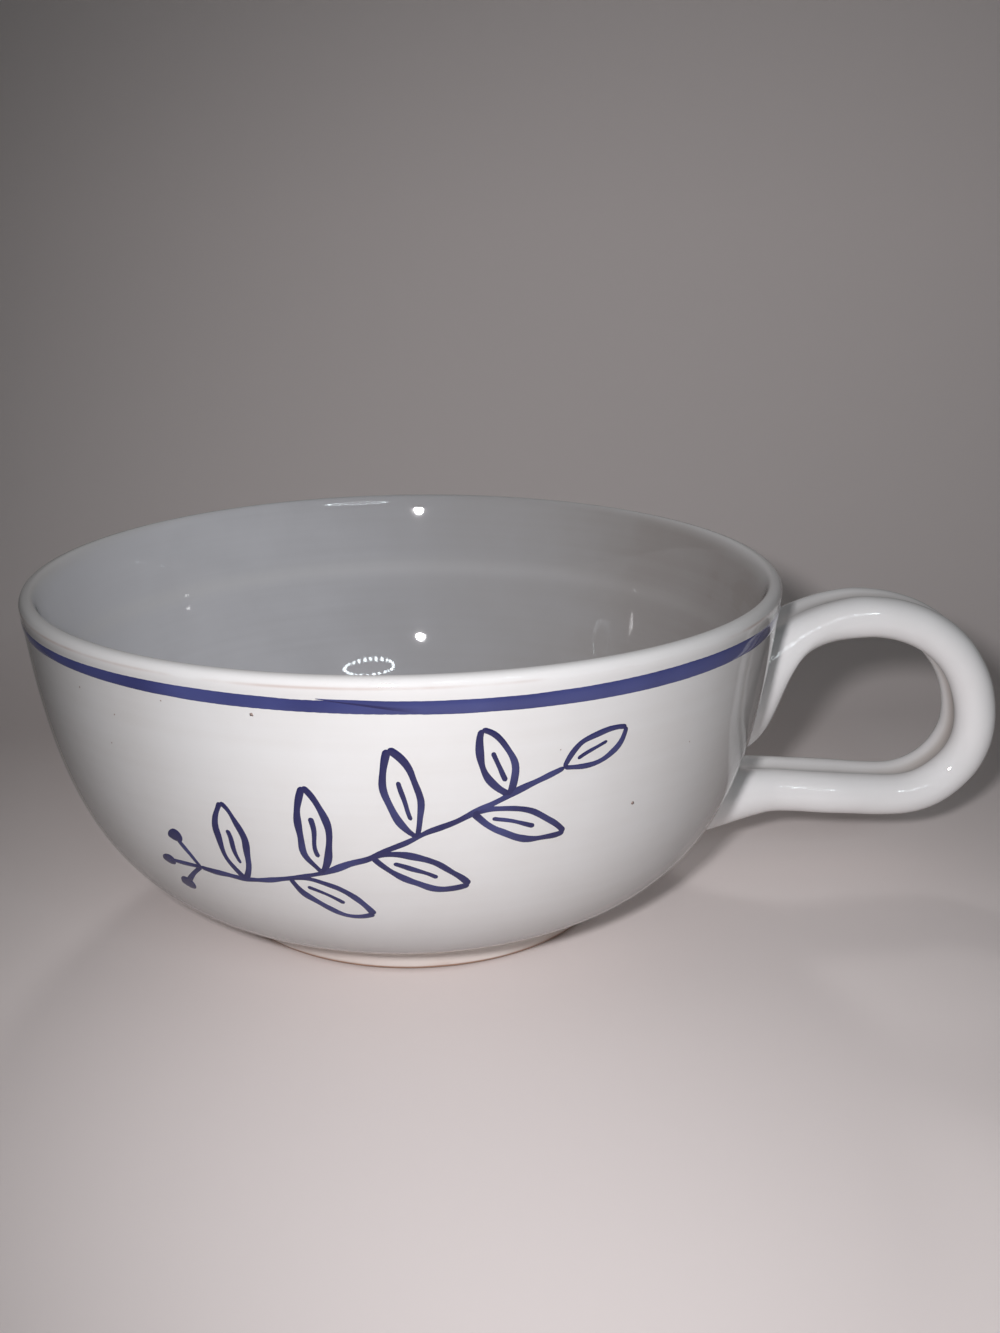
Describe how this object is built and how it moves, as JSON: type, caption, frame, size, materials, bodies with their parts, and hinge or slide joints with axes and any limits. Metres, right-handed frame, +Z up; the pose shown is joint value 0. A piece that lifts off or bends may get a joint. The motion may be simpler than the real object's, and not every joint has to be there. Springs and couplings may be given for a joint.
{
  "type": "tea cup",
  "caption": "Wide low tea cup of glazed earthenware: a round bowl on a low foot ring, with a creased strap handle luted to its wall and a painted band under the lip.",
  "frame": {"origin": "on the table, under the middle of the whole cup's box, handle included; the bowl's axis stands 21.3 mm from it towards -X", "axes": "+X out along the handle, +Z up out of the bowl, +Y to the right as one faces the handle from outside"},
  "size_m": [0.1728, 0.1302, 0.0609],
  "materials": {
    "white_glaze": "glossy white glaze over buff earthenware",
    "foot_clay": "thin glaze worn to bare clay where it stands",
    "joint_slip": "glazed over luting slip",
    "blue_paint": "brushed cobalt blue under gloss"
  },
  "bodies": {
    "root": {"bowl": "white_glaze", "foot_ring": "foot_clay", "foot_slip": "joint_slip", "rim_band": "blue_paint", "handle": "white_glaze", "handle_upper_slip": "joint_slip", "handle_lower_slip": "joint_slip"}
  },
  "joints": []
}
